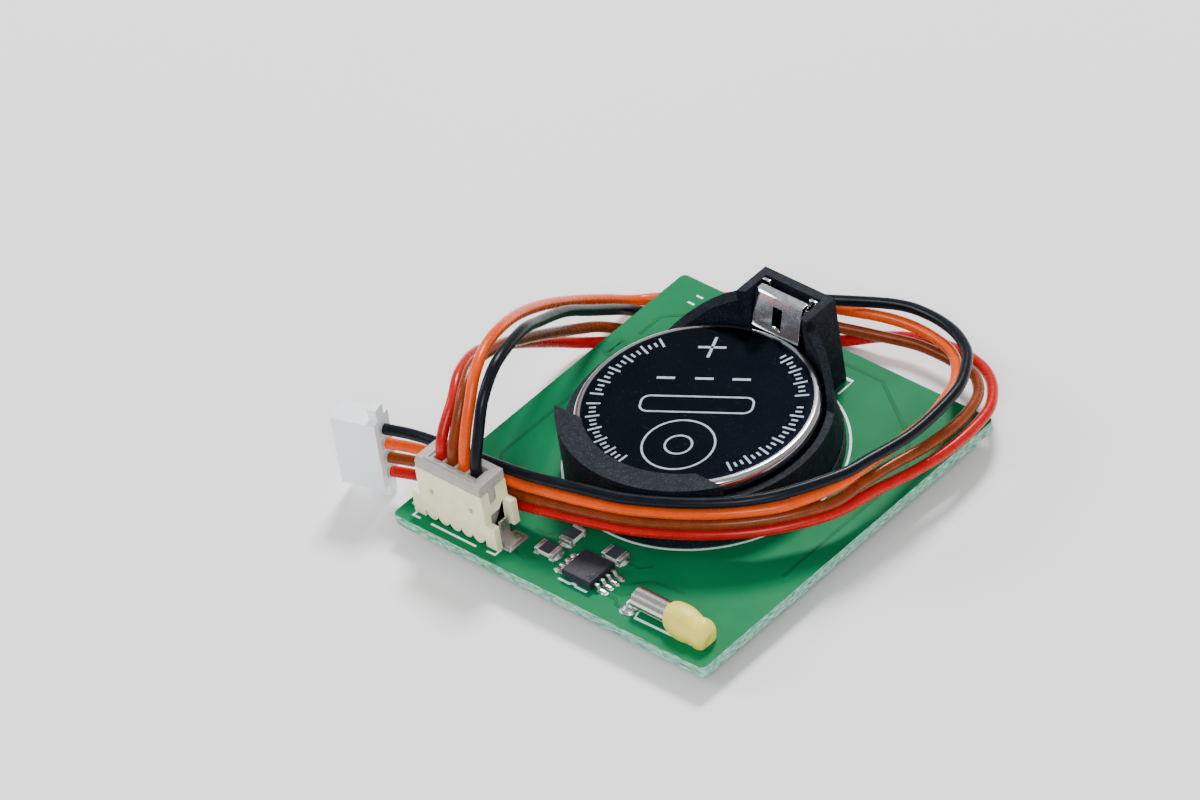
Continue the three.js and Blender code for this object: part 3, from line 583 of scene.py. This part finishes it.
def spun(name, outline, centre, sides):
    """A closed body of revolution about an upright axis, from (radius, height) points."""
    work = bmesh.new()
    rings = []
    for radius, height in outline:
        if radius == 0:
            rings.append([work.verts.new((centre[0], centre[1], height))])
            continue
        ring = []
        for side in range(sides):
            angle = 2 * math.pi * side / sides
            ring.append(
                work.verts.new(
                    (
                        centre[0] + radius * math.cos(angle),
                        centre[1] + radius * math.sin(angle),
                        height,
                    )
                )
            )
        rings.append(ring)
    for upper, lower in zip(rings, rings[1:]):
        for side in range(sides):
            following = (side + 1) % sides
            if len(upper) == 1:
                work.faces.new((upper[0], lower[side], lower[following]))
            elif len(lower) == 1:
                work.faces.new((upper[side], lower[0], upper[following]))
            else:
                work.faces.new((upper[side], lower[side], lower[following], upper[following]))
    mesh = mesh_from(work, name)
    return mesh


# ---- Flat marks: printed ink, covered copper and etched lines ----
def ribbon_mesh(name, runs, width, base, height, closed=False):
    """Thin strips with bevelled tops along flat runs of points."""
    work = bmesh.new()
    foot = Vector((0, 0, base))
    crown = Vector((0, 0, base + height))
    for run in runs:
        points = [Vector((x, y, 0)) for x, y in run]
        count = len(points)
        sections = []
        for index, point in enumerate(points):
            before = points[index - 1] if index or closed else point
            after = points[(index + 1) % count] if index < count - 1 or closed else point
            ahead = (after - before).normalized()
            side = Vector((-ahead.y, ahead.x, 0))
            stretch = 1.0
            if before != point and after != point:
                turn = (point - before).normalized().dot((after - point).normalized())
                stretch = 1 / max(0.5, math.sqrt((1 + turn) / 2))
            half = width / 2 * stretch
            inset = min(height, half * 0.4)
            sections.append(
                [
                    work.verts.new(point + side * half + foot),
                    work.verts.new(point + side * (half - inset) + crown),
                    work.verts.new(point - side * (half - inset) + crown),
                    work.verts.new(point - side * half + foot),
                ]
            )
        pairs = list(zip(sections, sections[1:]))
        if closed:
            pairs.append((sections[-1], sections[0]))
        else:
            work.faces.new(sections[0])
            work.faces.new(sections[-1][::-1])
        for first, second in pairs:
            for corner in range(4):
                following = (corner + 1) % 4
                work.faces.new(
                    (first[corner], second[corner], second[following], first[following])
                )
    mesh = mesh_from(work, name)
    return mesh


def board_marks(name, runs, width, material, height=PRINT_HEIGHT, closed=False):
    runs = [[(x * MM, y * MM) for x, y in run] for run in runs]
    mesh = ribbon_mesh(name, runs, width * MM, TOP + 0.001 * MM, height, closed)
    return add_piece(name, mesh, [material])


def arc(centre, radius, start, end, steps):
    return [
        (
            centre[0] + radius * math.cos(math.radians(start + (end - start) * step / steps)),
            centre[1] + radius * math.sin(math.radians(start + (end - start) * step / steps)),
        )
        for step in range(steps + 1)
    ]


def print_board():
    """White outlines round the holder, header, chip and crystal, and small plain marks."""
    circle = arc((-0.15, 1.8), 11.63, 0, 360, 120)[:-1]
    board_marks("print_circle", [circle], 0.2, PRINT, closed=True)
    outlines = [
        [(-4.35, 13.1), (-4.35, 15.05), (4.03, 15.03), (4.07, 13.18)],
        [(-15.08, -16.1), (-15.08, -16.93), (-14.3, -16.93)],
        [(-7.1, -16.9), (-6.23, -16.85), (-6.23, -16.1)],
        [(-13.1, -16.95), (-8.2, -16.95)],
        [(-0.1, -16.1), (1.15, -16.1), (1.25, -15.95), (1.6, -15.95), (1.7, -16.1), (2.95, -16.1)],
        [(7.95, -15.6), (8.15, -16.22), (14.17, -16.1)],
        [(14.84, -14.6), (14.86, -15.2), (14.5, -16.0)],
        [(-13.95, 15.2), (-13.25, 15.2)],
        [(-13.85, 16.2), (-13.15, 16.2)],
    ]
    board_marks("print_outlines", outlines, 0.2, PRINT)
    dot = arc((-0.75, -15.5), 0.12, 0, 360, 12)[:-1]
    board_marks("print_pin_one", [dot], 0.16, PRINT, closed=True)


def run_copper():
    """The copper tracks seen through the green coating."""
    tracks = [
        [(-6.1, -14.6), (-5.0, -15.7), (-3.9, -15.9), (-3.1, -15.2)],
        [(-5.6, -12.6), (-4.4, -12.6), (-3.6, -12.0), (-2.9, -11.85)],
        [(4.2, -15.4), (5.4, -15.4), (5.9, -15.9), (6.9, -15.9)],
        [(4.2, -14.75), (5.6, -14.75), (6.1, -14.2), (6.9, -14.2)],
        [(4.2, -14.1), (5.0, -13.6), (6.6, -12.2), (9.5, -11.9)],
        [(-1.0, -14.1), (-1.9, -13.2), (-2.3, -12.9)],
        [(3.2, -11.7), (4.6, -11.7), (5.4, -10.9)],
        [(-12.6, -12.5), (-12.6, -9.2), (-14.2, -7.4), (-14.2, 2.0), (-14.8, 5.2)],
        [(-11.4, -12.5), (-11.4, -10.4), (-10.4, -9.4)],
        [(14.8, -6.0), (14.8, 9.0), (12.2, 12.4), (6.0, 16.4), (-9.0, 16.4)],
        [(-14.6, 10.0), (-14.6, 12.6), (-12.6, 14.2), (-8.0, 14.2)],
    ]
    board_marks("copper_tracks", tracks, 0.34, TRACE, TRACE_HEIGHT)
    patch = [(-15.2 + 0.75 * x, 7.6 + 1.35 * y) for x, y in arc((0, 0), 0.55, 0, 360, 40)[:-1]]
    board_marks("copper_patch", [patch], 0.9, TRACE, TRACE_HEIGHT, closed=True)
    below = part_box("pcb")[0].z
    lower = [
        [(-12.6, -14), (-12.6, -8), (-6, 0), (-0.2, -4)],
        [(-8.9, -14), (-4, -10), (8, -10), (12, -4), (2, 10)],
    ]
    lower = [[(x * MM, y * MM) for x, y in run] for run in lower]
    mesh = ribbon_mesh("copper_underside", lower, 0.5 * MM, below - 0.021 * MM, 0.02 * MM)
    add_piece(mesh.name, mesh, [TRACE])


def mark_cell():
    """Plain marks in the polished can, with no words: bars round the edge, dashes and outlines."""
    turn = math.radians(31)
    across = Vector((math.cos(turn), math.sin(turn)))
    upward = Vector((-math.sin(turn), math.cos(turn)))
    middle = Vector((CELL_X, CELL_Y))

    def spot(x, y):
        return tuple(middle + (across * x + upward * y) * MM)

    def spoke(angle, near, far):
        ray = Vector((math.cos(math.radians(angle)), math.sin(math.radians(angle))))
        return [tuple(middle + ray * near * MM), tuple(middle + ray * far * MM)]

    bars = []
    for start, end in ((151, 205), (213, 266), (-31, 30), (40, 76)):
        count = round((end - start) / 3.6)
        for step in range(count + 1):
            angle = start + (end - start) * step / count
            long = step % 3 == 0
            bars.append(spoke(angle, 7.85 if long else 8.15, 9.0 if long else 8.7))
    dashes = [[spot(x - 0.75, 3.05), spot(x + 0.75, 3.05)] for x in (-3.1, 0.05, 3.1)]
    plus = [[spot(-1.15, 6.9), spot(1.15, 6.9)], [spot(-0.15, 5.65), spot(0.15, 8.15)]]
    corner = 0.7
    panel = []
    for x, y, start in ((4.6, 0.85, 0), (-4.6, 0.85, 90), (-4.6, -1.05, 180), (4.6, -1.05, 270)):
        inside = (x - math.copysign(corner, x), y - math.copysign(corner, y))
        panel += [spot(*point) for point in arc(inside, corner, start, start + 90, 6)]
    circle = [spot(*point) for point in arc((-0.6, -5.0), 2.95, 0, 360, 72)[:-1]]
    inner_circle = [spot(*point) for point in arc((-0.6, -5.0), 1.1, 0, 360, 40)[:-1]]
    groups = (
        ("cell_bars", bars, 0.2, False),
        ("cell_dashes", dashes, 0.28, False),
        ("cell_plus", plus, 0.26, False),
        ("cell_outlines", [panel, circle, inner_circle], 0.19, True),
    )
    for name, runs, width, ringed in groups:
        mesh = ribbon_mesh(name, runs, width * MM, CELL_HIGH.z - 0.004 * MM, 0.008 * MM, ringed)
        add_piece(name, mesh, [ETCH], "cell")


# ---- Solder and glue ----
def mound(name, places):
    """Low solder domes: each is (x, y, z, half length, half width, height, turn)."""
    grit = 0.05
    work = bmesh.new()
    for x, y, z, long, wide, high, turn in places:
        rings, sides = 7, 28
        centre = Vector((x, y, z)) * MM
        rows = []
        for ring in range(rings):
            share = ring / rings
            reach = 1 - share
            lift = high * (1 - reach**2) ** 1.3
            row = []
            for side in range(sides):
                angle = 2 * math.pi * side / sides
                seed = Vector((x * 3 + math.cos(angle), y * 3 + math.sin(angle), ring * 0.3))
                wobble = 1 + grit * noise.noise(seed)
                dx = long * reach * wobble * math.cos(angle)
                dy = wide * reach * wobble * math.sin(angle)
                row.append(
                    work.verts.new(
                        centre
                        + MM
                        * Vector(
                            (
                                dx * math.cos(turn) - dy * math.sin(turn),
                                dx * math.sin(turn) + dy * math.cos(turn),
                                lift,
                            )
                        )
                    )
                )
            rows.append(row)
        peak = work.verts.new(centre + Vector((0, 0, high * MM)))
        work.faces.new(rows[0][::-1])
        for lower, upper in zip(rows, rows[1:]):
            for side in range(sides):
                following = (side + 1) % sides
                work.faces.new((lower[side], lower[following], upper[following], upper[side]))
        for side in range(sides):
            work.faces.new((rows[-1][side], rows[-1][(side + 1) % sides], peak))
    mesh = mesh_from(work, name)
    smooth_mesh(mesh, 60)
    return add_piece(name, mesh, [MATERIALS["solder"]])


def middle_of(node):
    """The middle and the half sizes of a CAD node, in millimetres."""
    low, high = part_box(node)
    return (low + high) / 2 / MM, (high - low) / 2 / MM


def solder_board():
    """Fillets of solder at each joint on the top face."""
    top = TOP / MM
    chip_x = middle_of("clock_chip")[0].x
    feet = []
    for number in range(1, 9):
        place, half = middle_of(f"chip_lead_{number}")
        outward = 1 if place.x > chip_x else -1
        feet.append((place.x + outward * (half.x - 0.15), place.y, top, 0.42, 0.22, 0.12, 0))
    mound("chip_solder", feet)
    ends = []
    for number in range(1, 4):
        for end in ("a", "b"):
            place, half = middle_of(f"resistor_{number}_end_{end}")
            other = middle_of(f"resistor_{number}_end_{'b' if end == 'a' else 'a'}")[0]
            away = (place - other).normalized()
            turn = math.atan2(away.y, away.x)
            x, y = place.x + away.x * 0.1, place.y + away.y * 0.1
            ends.append((x, y, top, 0.36, 0.62, 0.26, turn))
    mound("resistor_solder", ends)
    mound(
        "crystal_solder",
        [(7.1, -15.9, top, 0.75, 0.55, 0.42, 0), (7.1, -14.2, top, 0.75, 0.55, 0.42, 0)],
    )


def pad_mesh(name, places, thick, corner):
    """Flat pads with rounded corners and soft top edges: each is (x0, y0, x1, y1, z)."""
    work = bmesh.new()
    for x0, y0, x1, y1, z in places:
        outline = []
        for x, y, start in ((x1, y1, 0), (x0, y1, 90), (x0, y0, 180), (x1, y0, 270)):
            inside = (
                x + (corner if x == x0 else -corner),
                y + (corner if y == y0 else -corner),
            )
            outline += arc(inside, corner, start, start + 90, 5)
        middle = Vector(((x0 + x1) / 2, (y0 + y1) / 2, 0))
        rings = []
        for shrink, lift in ((1, 0), (1, 0.5), (0.97, 0.85), (0.9, 1)):
            rings.append(
                [
                    work.verts.new(
                        MM
                        * Vector(
                            (
                                middle.x + (x - middle.x) * shrink,
                                middle.y + (y - middle.y) * shrink,
                                z + thick * lift,
                            )
                        )
                    )
                    for x, y in outline
                ]
            )
        work.faces.new(rings[0][::-1])
        work.faces.new(rings[-1])
        for lower, upper in zip(rings, rings[1:]):
            for side in range(len(outline)):
                following = (side + 1) % len(outline)
                work.faces.new((lower[side], lower[following], upper[following], upper[side]))
    mesh = mesh_from(work, name)
    smooth_mesh(mesh, 50)
    return mesh


def lay_pads():
    """Tinned pads under the header's tabs, the resistors and the chip's feet."""
    top = TOP / MM
    chip_x = middle_of("clock_chip")[0].x
    near, far, front, back = 3.9, 5.4, -16.0, -13.7
    tabs = [
        (HEADER_X + near, front, HEADER_X + far, back, top),
        (HEADER_X - far, front, HEADER_X - near, back, top),
    ]
    mesh = pad_mesh("tab_pads", tabs, 0.1, 0.12)
    add_piece(mesh.name, mesh, [MATERIALS["solder"]])
    small = []
    for number in range(1, 4):
        for end in ("a", "b"):
            place, half = middle_of(f"resistor_{number}_end_{end}")
            small.append(
                (
                    place.x - half.x - 0.1,
                    place.y - half.y - 0.1,
                    place.x + half.x + 0.1,
                    place.y + half.y + 0.1,
                    top,
                )
            )
    for number in range(1, 9):
        place, half = middle_of(f"chip_lead_{number}")
        outward = 1 if place.x > chip_x else -1
        tip = place.x + outward * (half.x + 0.15)
        heel = place.x + outward * (half.x - 0.85)
        small.append((min(tip, heel), place.y - 0.2, max(tip, heel), place.y + 0.2, top))
    mesh = pad_mesh("small_pads", small, 0.04, 0.06)
    add_piece(mesh.name, mesh, [MATERIALS["solder"]])


def detail_plug():
    """Ribs between the wires in the plug's pocket, a ledge before them and a ridge in front."""
    plug_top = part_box("harness_plug")[1].z / MM
    pocket = plug_top - 0.9
    half, front, back = 0.13, -15.7, -14.3
    ribs = []
    for number in range(5):
        middle = HEADER_X + CIRCUIT_PITCH * (number - 2)
        ribs.append((middle - half, front, middle + half, back, pocket))
    ledge = [(-13.3, -15.74, -8.2, -15.52, pocket)]
    ridge = [(-13.6, -16.12, -8.0, -15.98, plug_top - 0.05)]
    details = (
        ("harness_plug_ribs", ribs, 0.72, 0.04),
        ("harness_plug_ledge", ledge, 0.78, 0.04),
        ("harness_plug_ridge", ridge, 0.2, 0.05),
    )
    for name, places, thick, corner in details:
        mesh = pad_mesh(name, places, thick, corner)
        add_piece(name, mesh, [MATERIALS["plug_plastic"]])


def glue_crystal():
    """The bead of adhesive over the crystal's end: a soft flat-sided sack with a rolled end."""
    low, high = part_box("crystal_adhesive")
    start, end = low.x - 0.05 * MM, high.x + 0.15 * MM
    middle_y = (low.y + high.y) / 2 - 0.1 * MM
    middle_z, rise = TOP + 0.8 * MM, high.z - TOP - 1.0 * MM
    half_width, sideways, sag, lean = 1.24 * MM, 0.25 * MM, 0.3 * MM, 0.12 * MM
    squareness = 0.85
    # Share of the length, then the swell there.
    swells = (
        (0.0, 0.72), (0.03, 0.84), (0.1, 0.94), (0.25, 1.02), (0.42, 1.06), (0.56, 1.0),
        (0.66, 0.88), (0.71, 0.85), (0.77, 0.9), (0.86, 0.93), (0.94, 0.86), (0.985, 0.7),
        (1.0, 0.5), (0.985, 0.34), (0.95, 0.2),
    )
    sides = 48
    work = bmesh.new()
    rings = []
    for share, swell in swells:
        ring = []
        for side in range(sides):
            angle = 2 * math.pi * side / sides
            across = math.copysign(abs(math.cos(angle)) ** squareness, math.cos(angle))
            upward = math.copysign(abs(math.sin(angle)) ** squareness, math.sin(angle))
            lump = 1 + 0.07 * noise.noise(Vector((share * 3, across * 1.3, upward * 1.3 + 5)))
            droop = sag * share * share
            ring.append(
                work.verts.new(
                    (
                        start + (end - start) * share + lean * upward * share,
                        middle_y - sideways * share + half_width * swell * lump * across,
                        max(TOP, middle_z - droop + rise * swell * lump * upward),
                    )
                )
            )
        rings.append(ring)
    work.faces.new(rings[0])
    work.faces.new(rings[-1][::-1])
    for first, second in zip(rings, rings[1:]):
        for side in range(sides):
            following = (side + 1) % sides
            work.faces.new((first[side], first[following], second[following], second[side]))
    mesh = mesh_from(work, "crystal_adhesive_bead")
    smooth_mesh(mesh, 75)
    bead = add_piece(
        mesh.name, mesh, [MATERIALS["adhesive"]], "root", ["crystal_adhesive"]
    )
    modifier = bead.modifiers.new("soften", "SUBSURF")
    modifier.levels = 1
    modifier.render_levels = 1


def glaze_resistors():
    """Dark glazed tops on the three chip resistors, over a pale ceramic body."""
    for number in range(1, 4):
        node = f"resistor_{number}"
        shell = softened(node, 0.03)
        shell.data.materials.append(GLAZE)
        for face in shell.data.polygons:
            if face.normal.z > 0.6:
                face.material_index = 1


def carry_over():
    """Materials for the CAD nodes that are shown as they are."""
    for node, thing in frame["nodes"].items():
        if thing.hide_render:
            continue
        thing.data.materials.clear()
        thing.data.materials.append(MATERIALS[SLOT_OF[node]])


make_board()
make_holder()
make_cell()
print_board()
run_copper()
mark_cell()
solder_board()
lay_pads()
detail_plug()
glue_crystal()
glaze_resistors()
carry_over()


# ---- Floor and light ----
def make_stage():
    mesh = bpy.data.meshes.new("floor")
    size = 3.0
    mesh.from_pydata(
        [(-size, -size, 0), (size, -size, 0), (size, size, 0), (-size, size, 0)], [], [(0, 1, 2, 3)]
    )
    floor = bpy.data.objects.new("floor", mesh)
    bpy.context.scene.collection.objects.link(floor)
    mesh.materials.append(plastic("floor", (0.93, 0.93, 0.93), 0.9, grain=20, tint=0.01, bump=0.0))


def area_light(name, place, size, power):
    """A white disc light aimed at the middle of the scene."""
    data = bpy.data.lights.new(name, "AREA")
    data.shape = "DISK"
    data.size = size
    data.energy = power
    light = bpy.data.objects.new(name, data)
    bpy.context.scene.collection.objects.link(light)
    light.location = place
    light.rotation_euler = (-Vector(place)).to_track_quat("-Z", "Y").to_euler()


def light_scene():
    world = bpy.data.worlds.new("studio")
    bpy.context.scene.world = world
    world.use_nodes = True
    background = world.node_tree.nodes["Background"]
    background.inputs["Color"].default_value = (1, 1, 1, 1)
    background.inputs["Strength"].default_value = 0.45
    area_light("key", (-0.16, 0.34, 0.50), 0.16, 5.2)
    area_light("fill", (0.40, -0.42, 0.45), 0.3, 3.2)
    area_light("side", (-0.5, -0.25, 0.35), 0.25, 1.8)


make_stage()
light_scene()
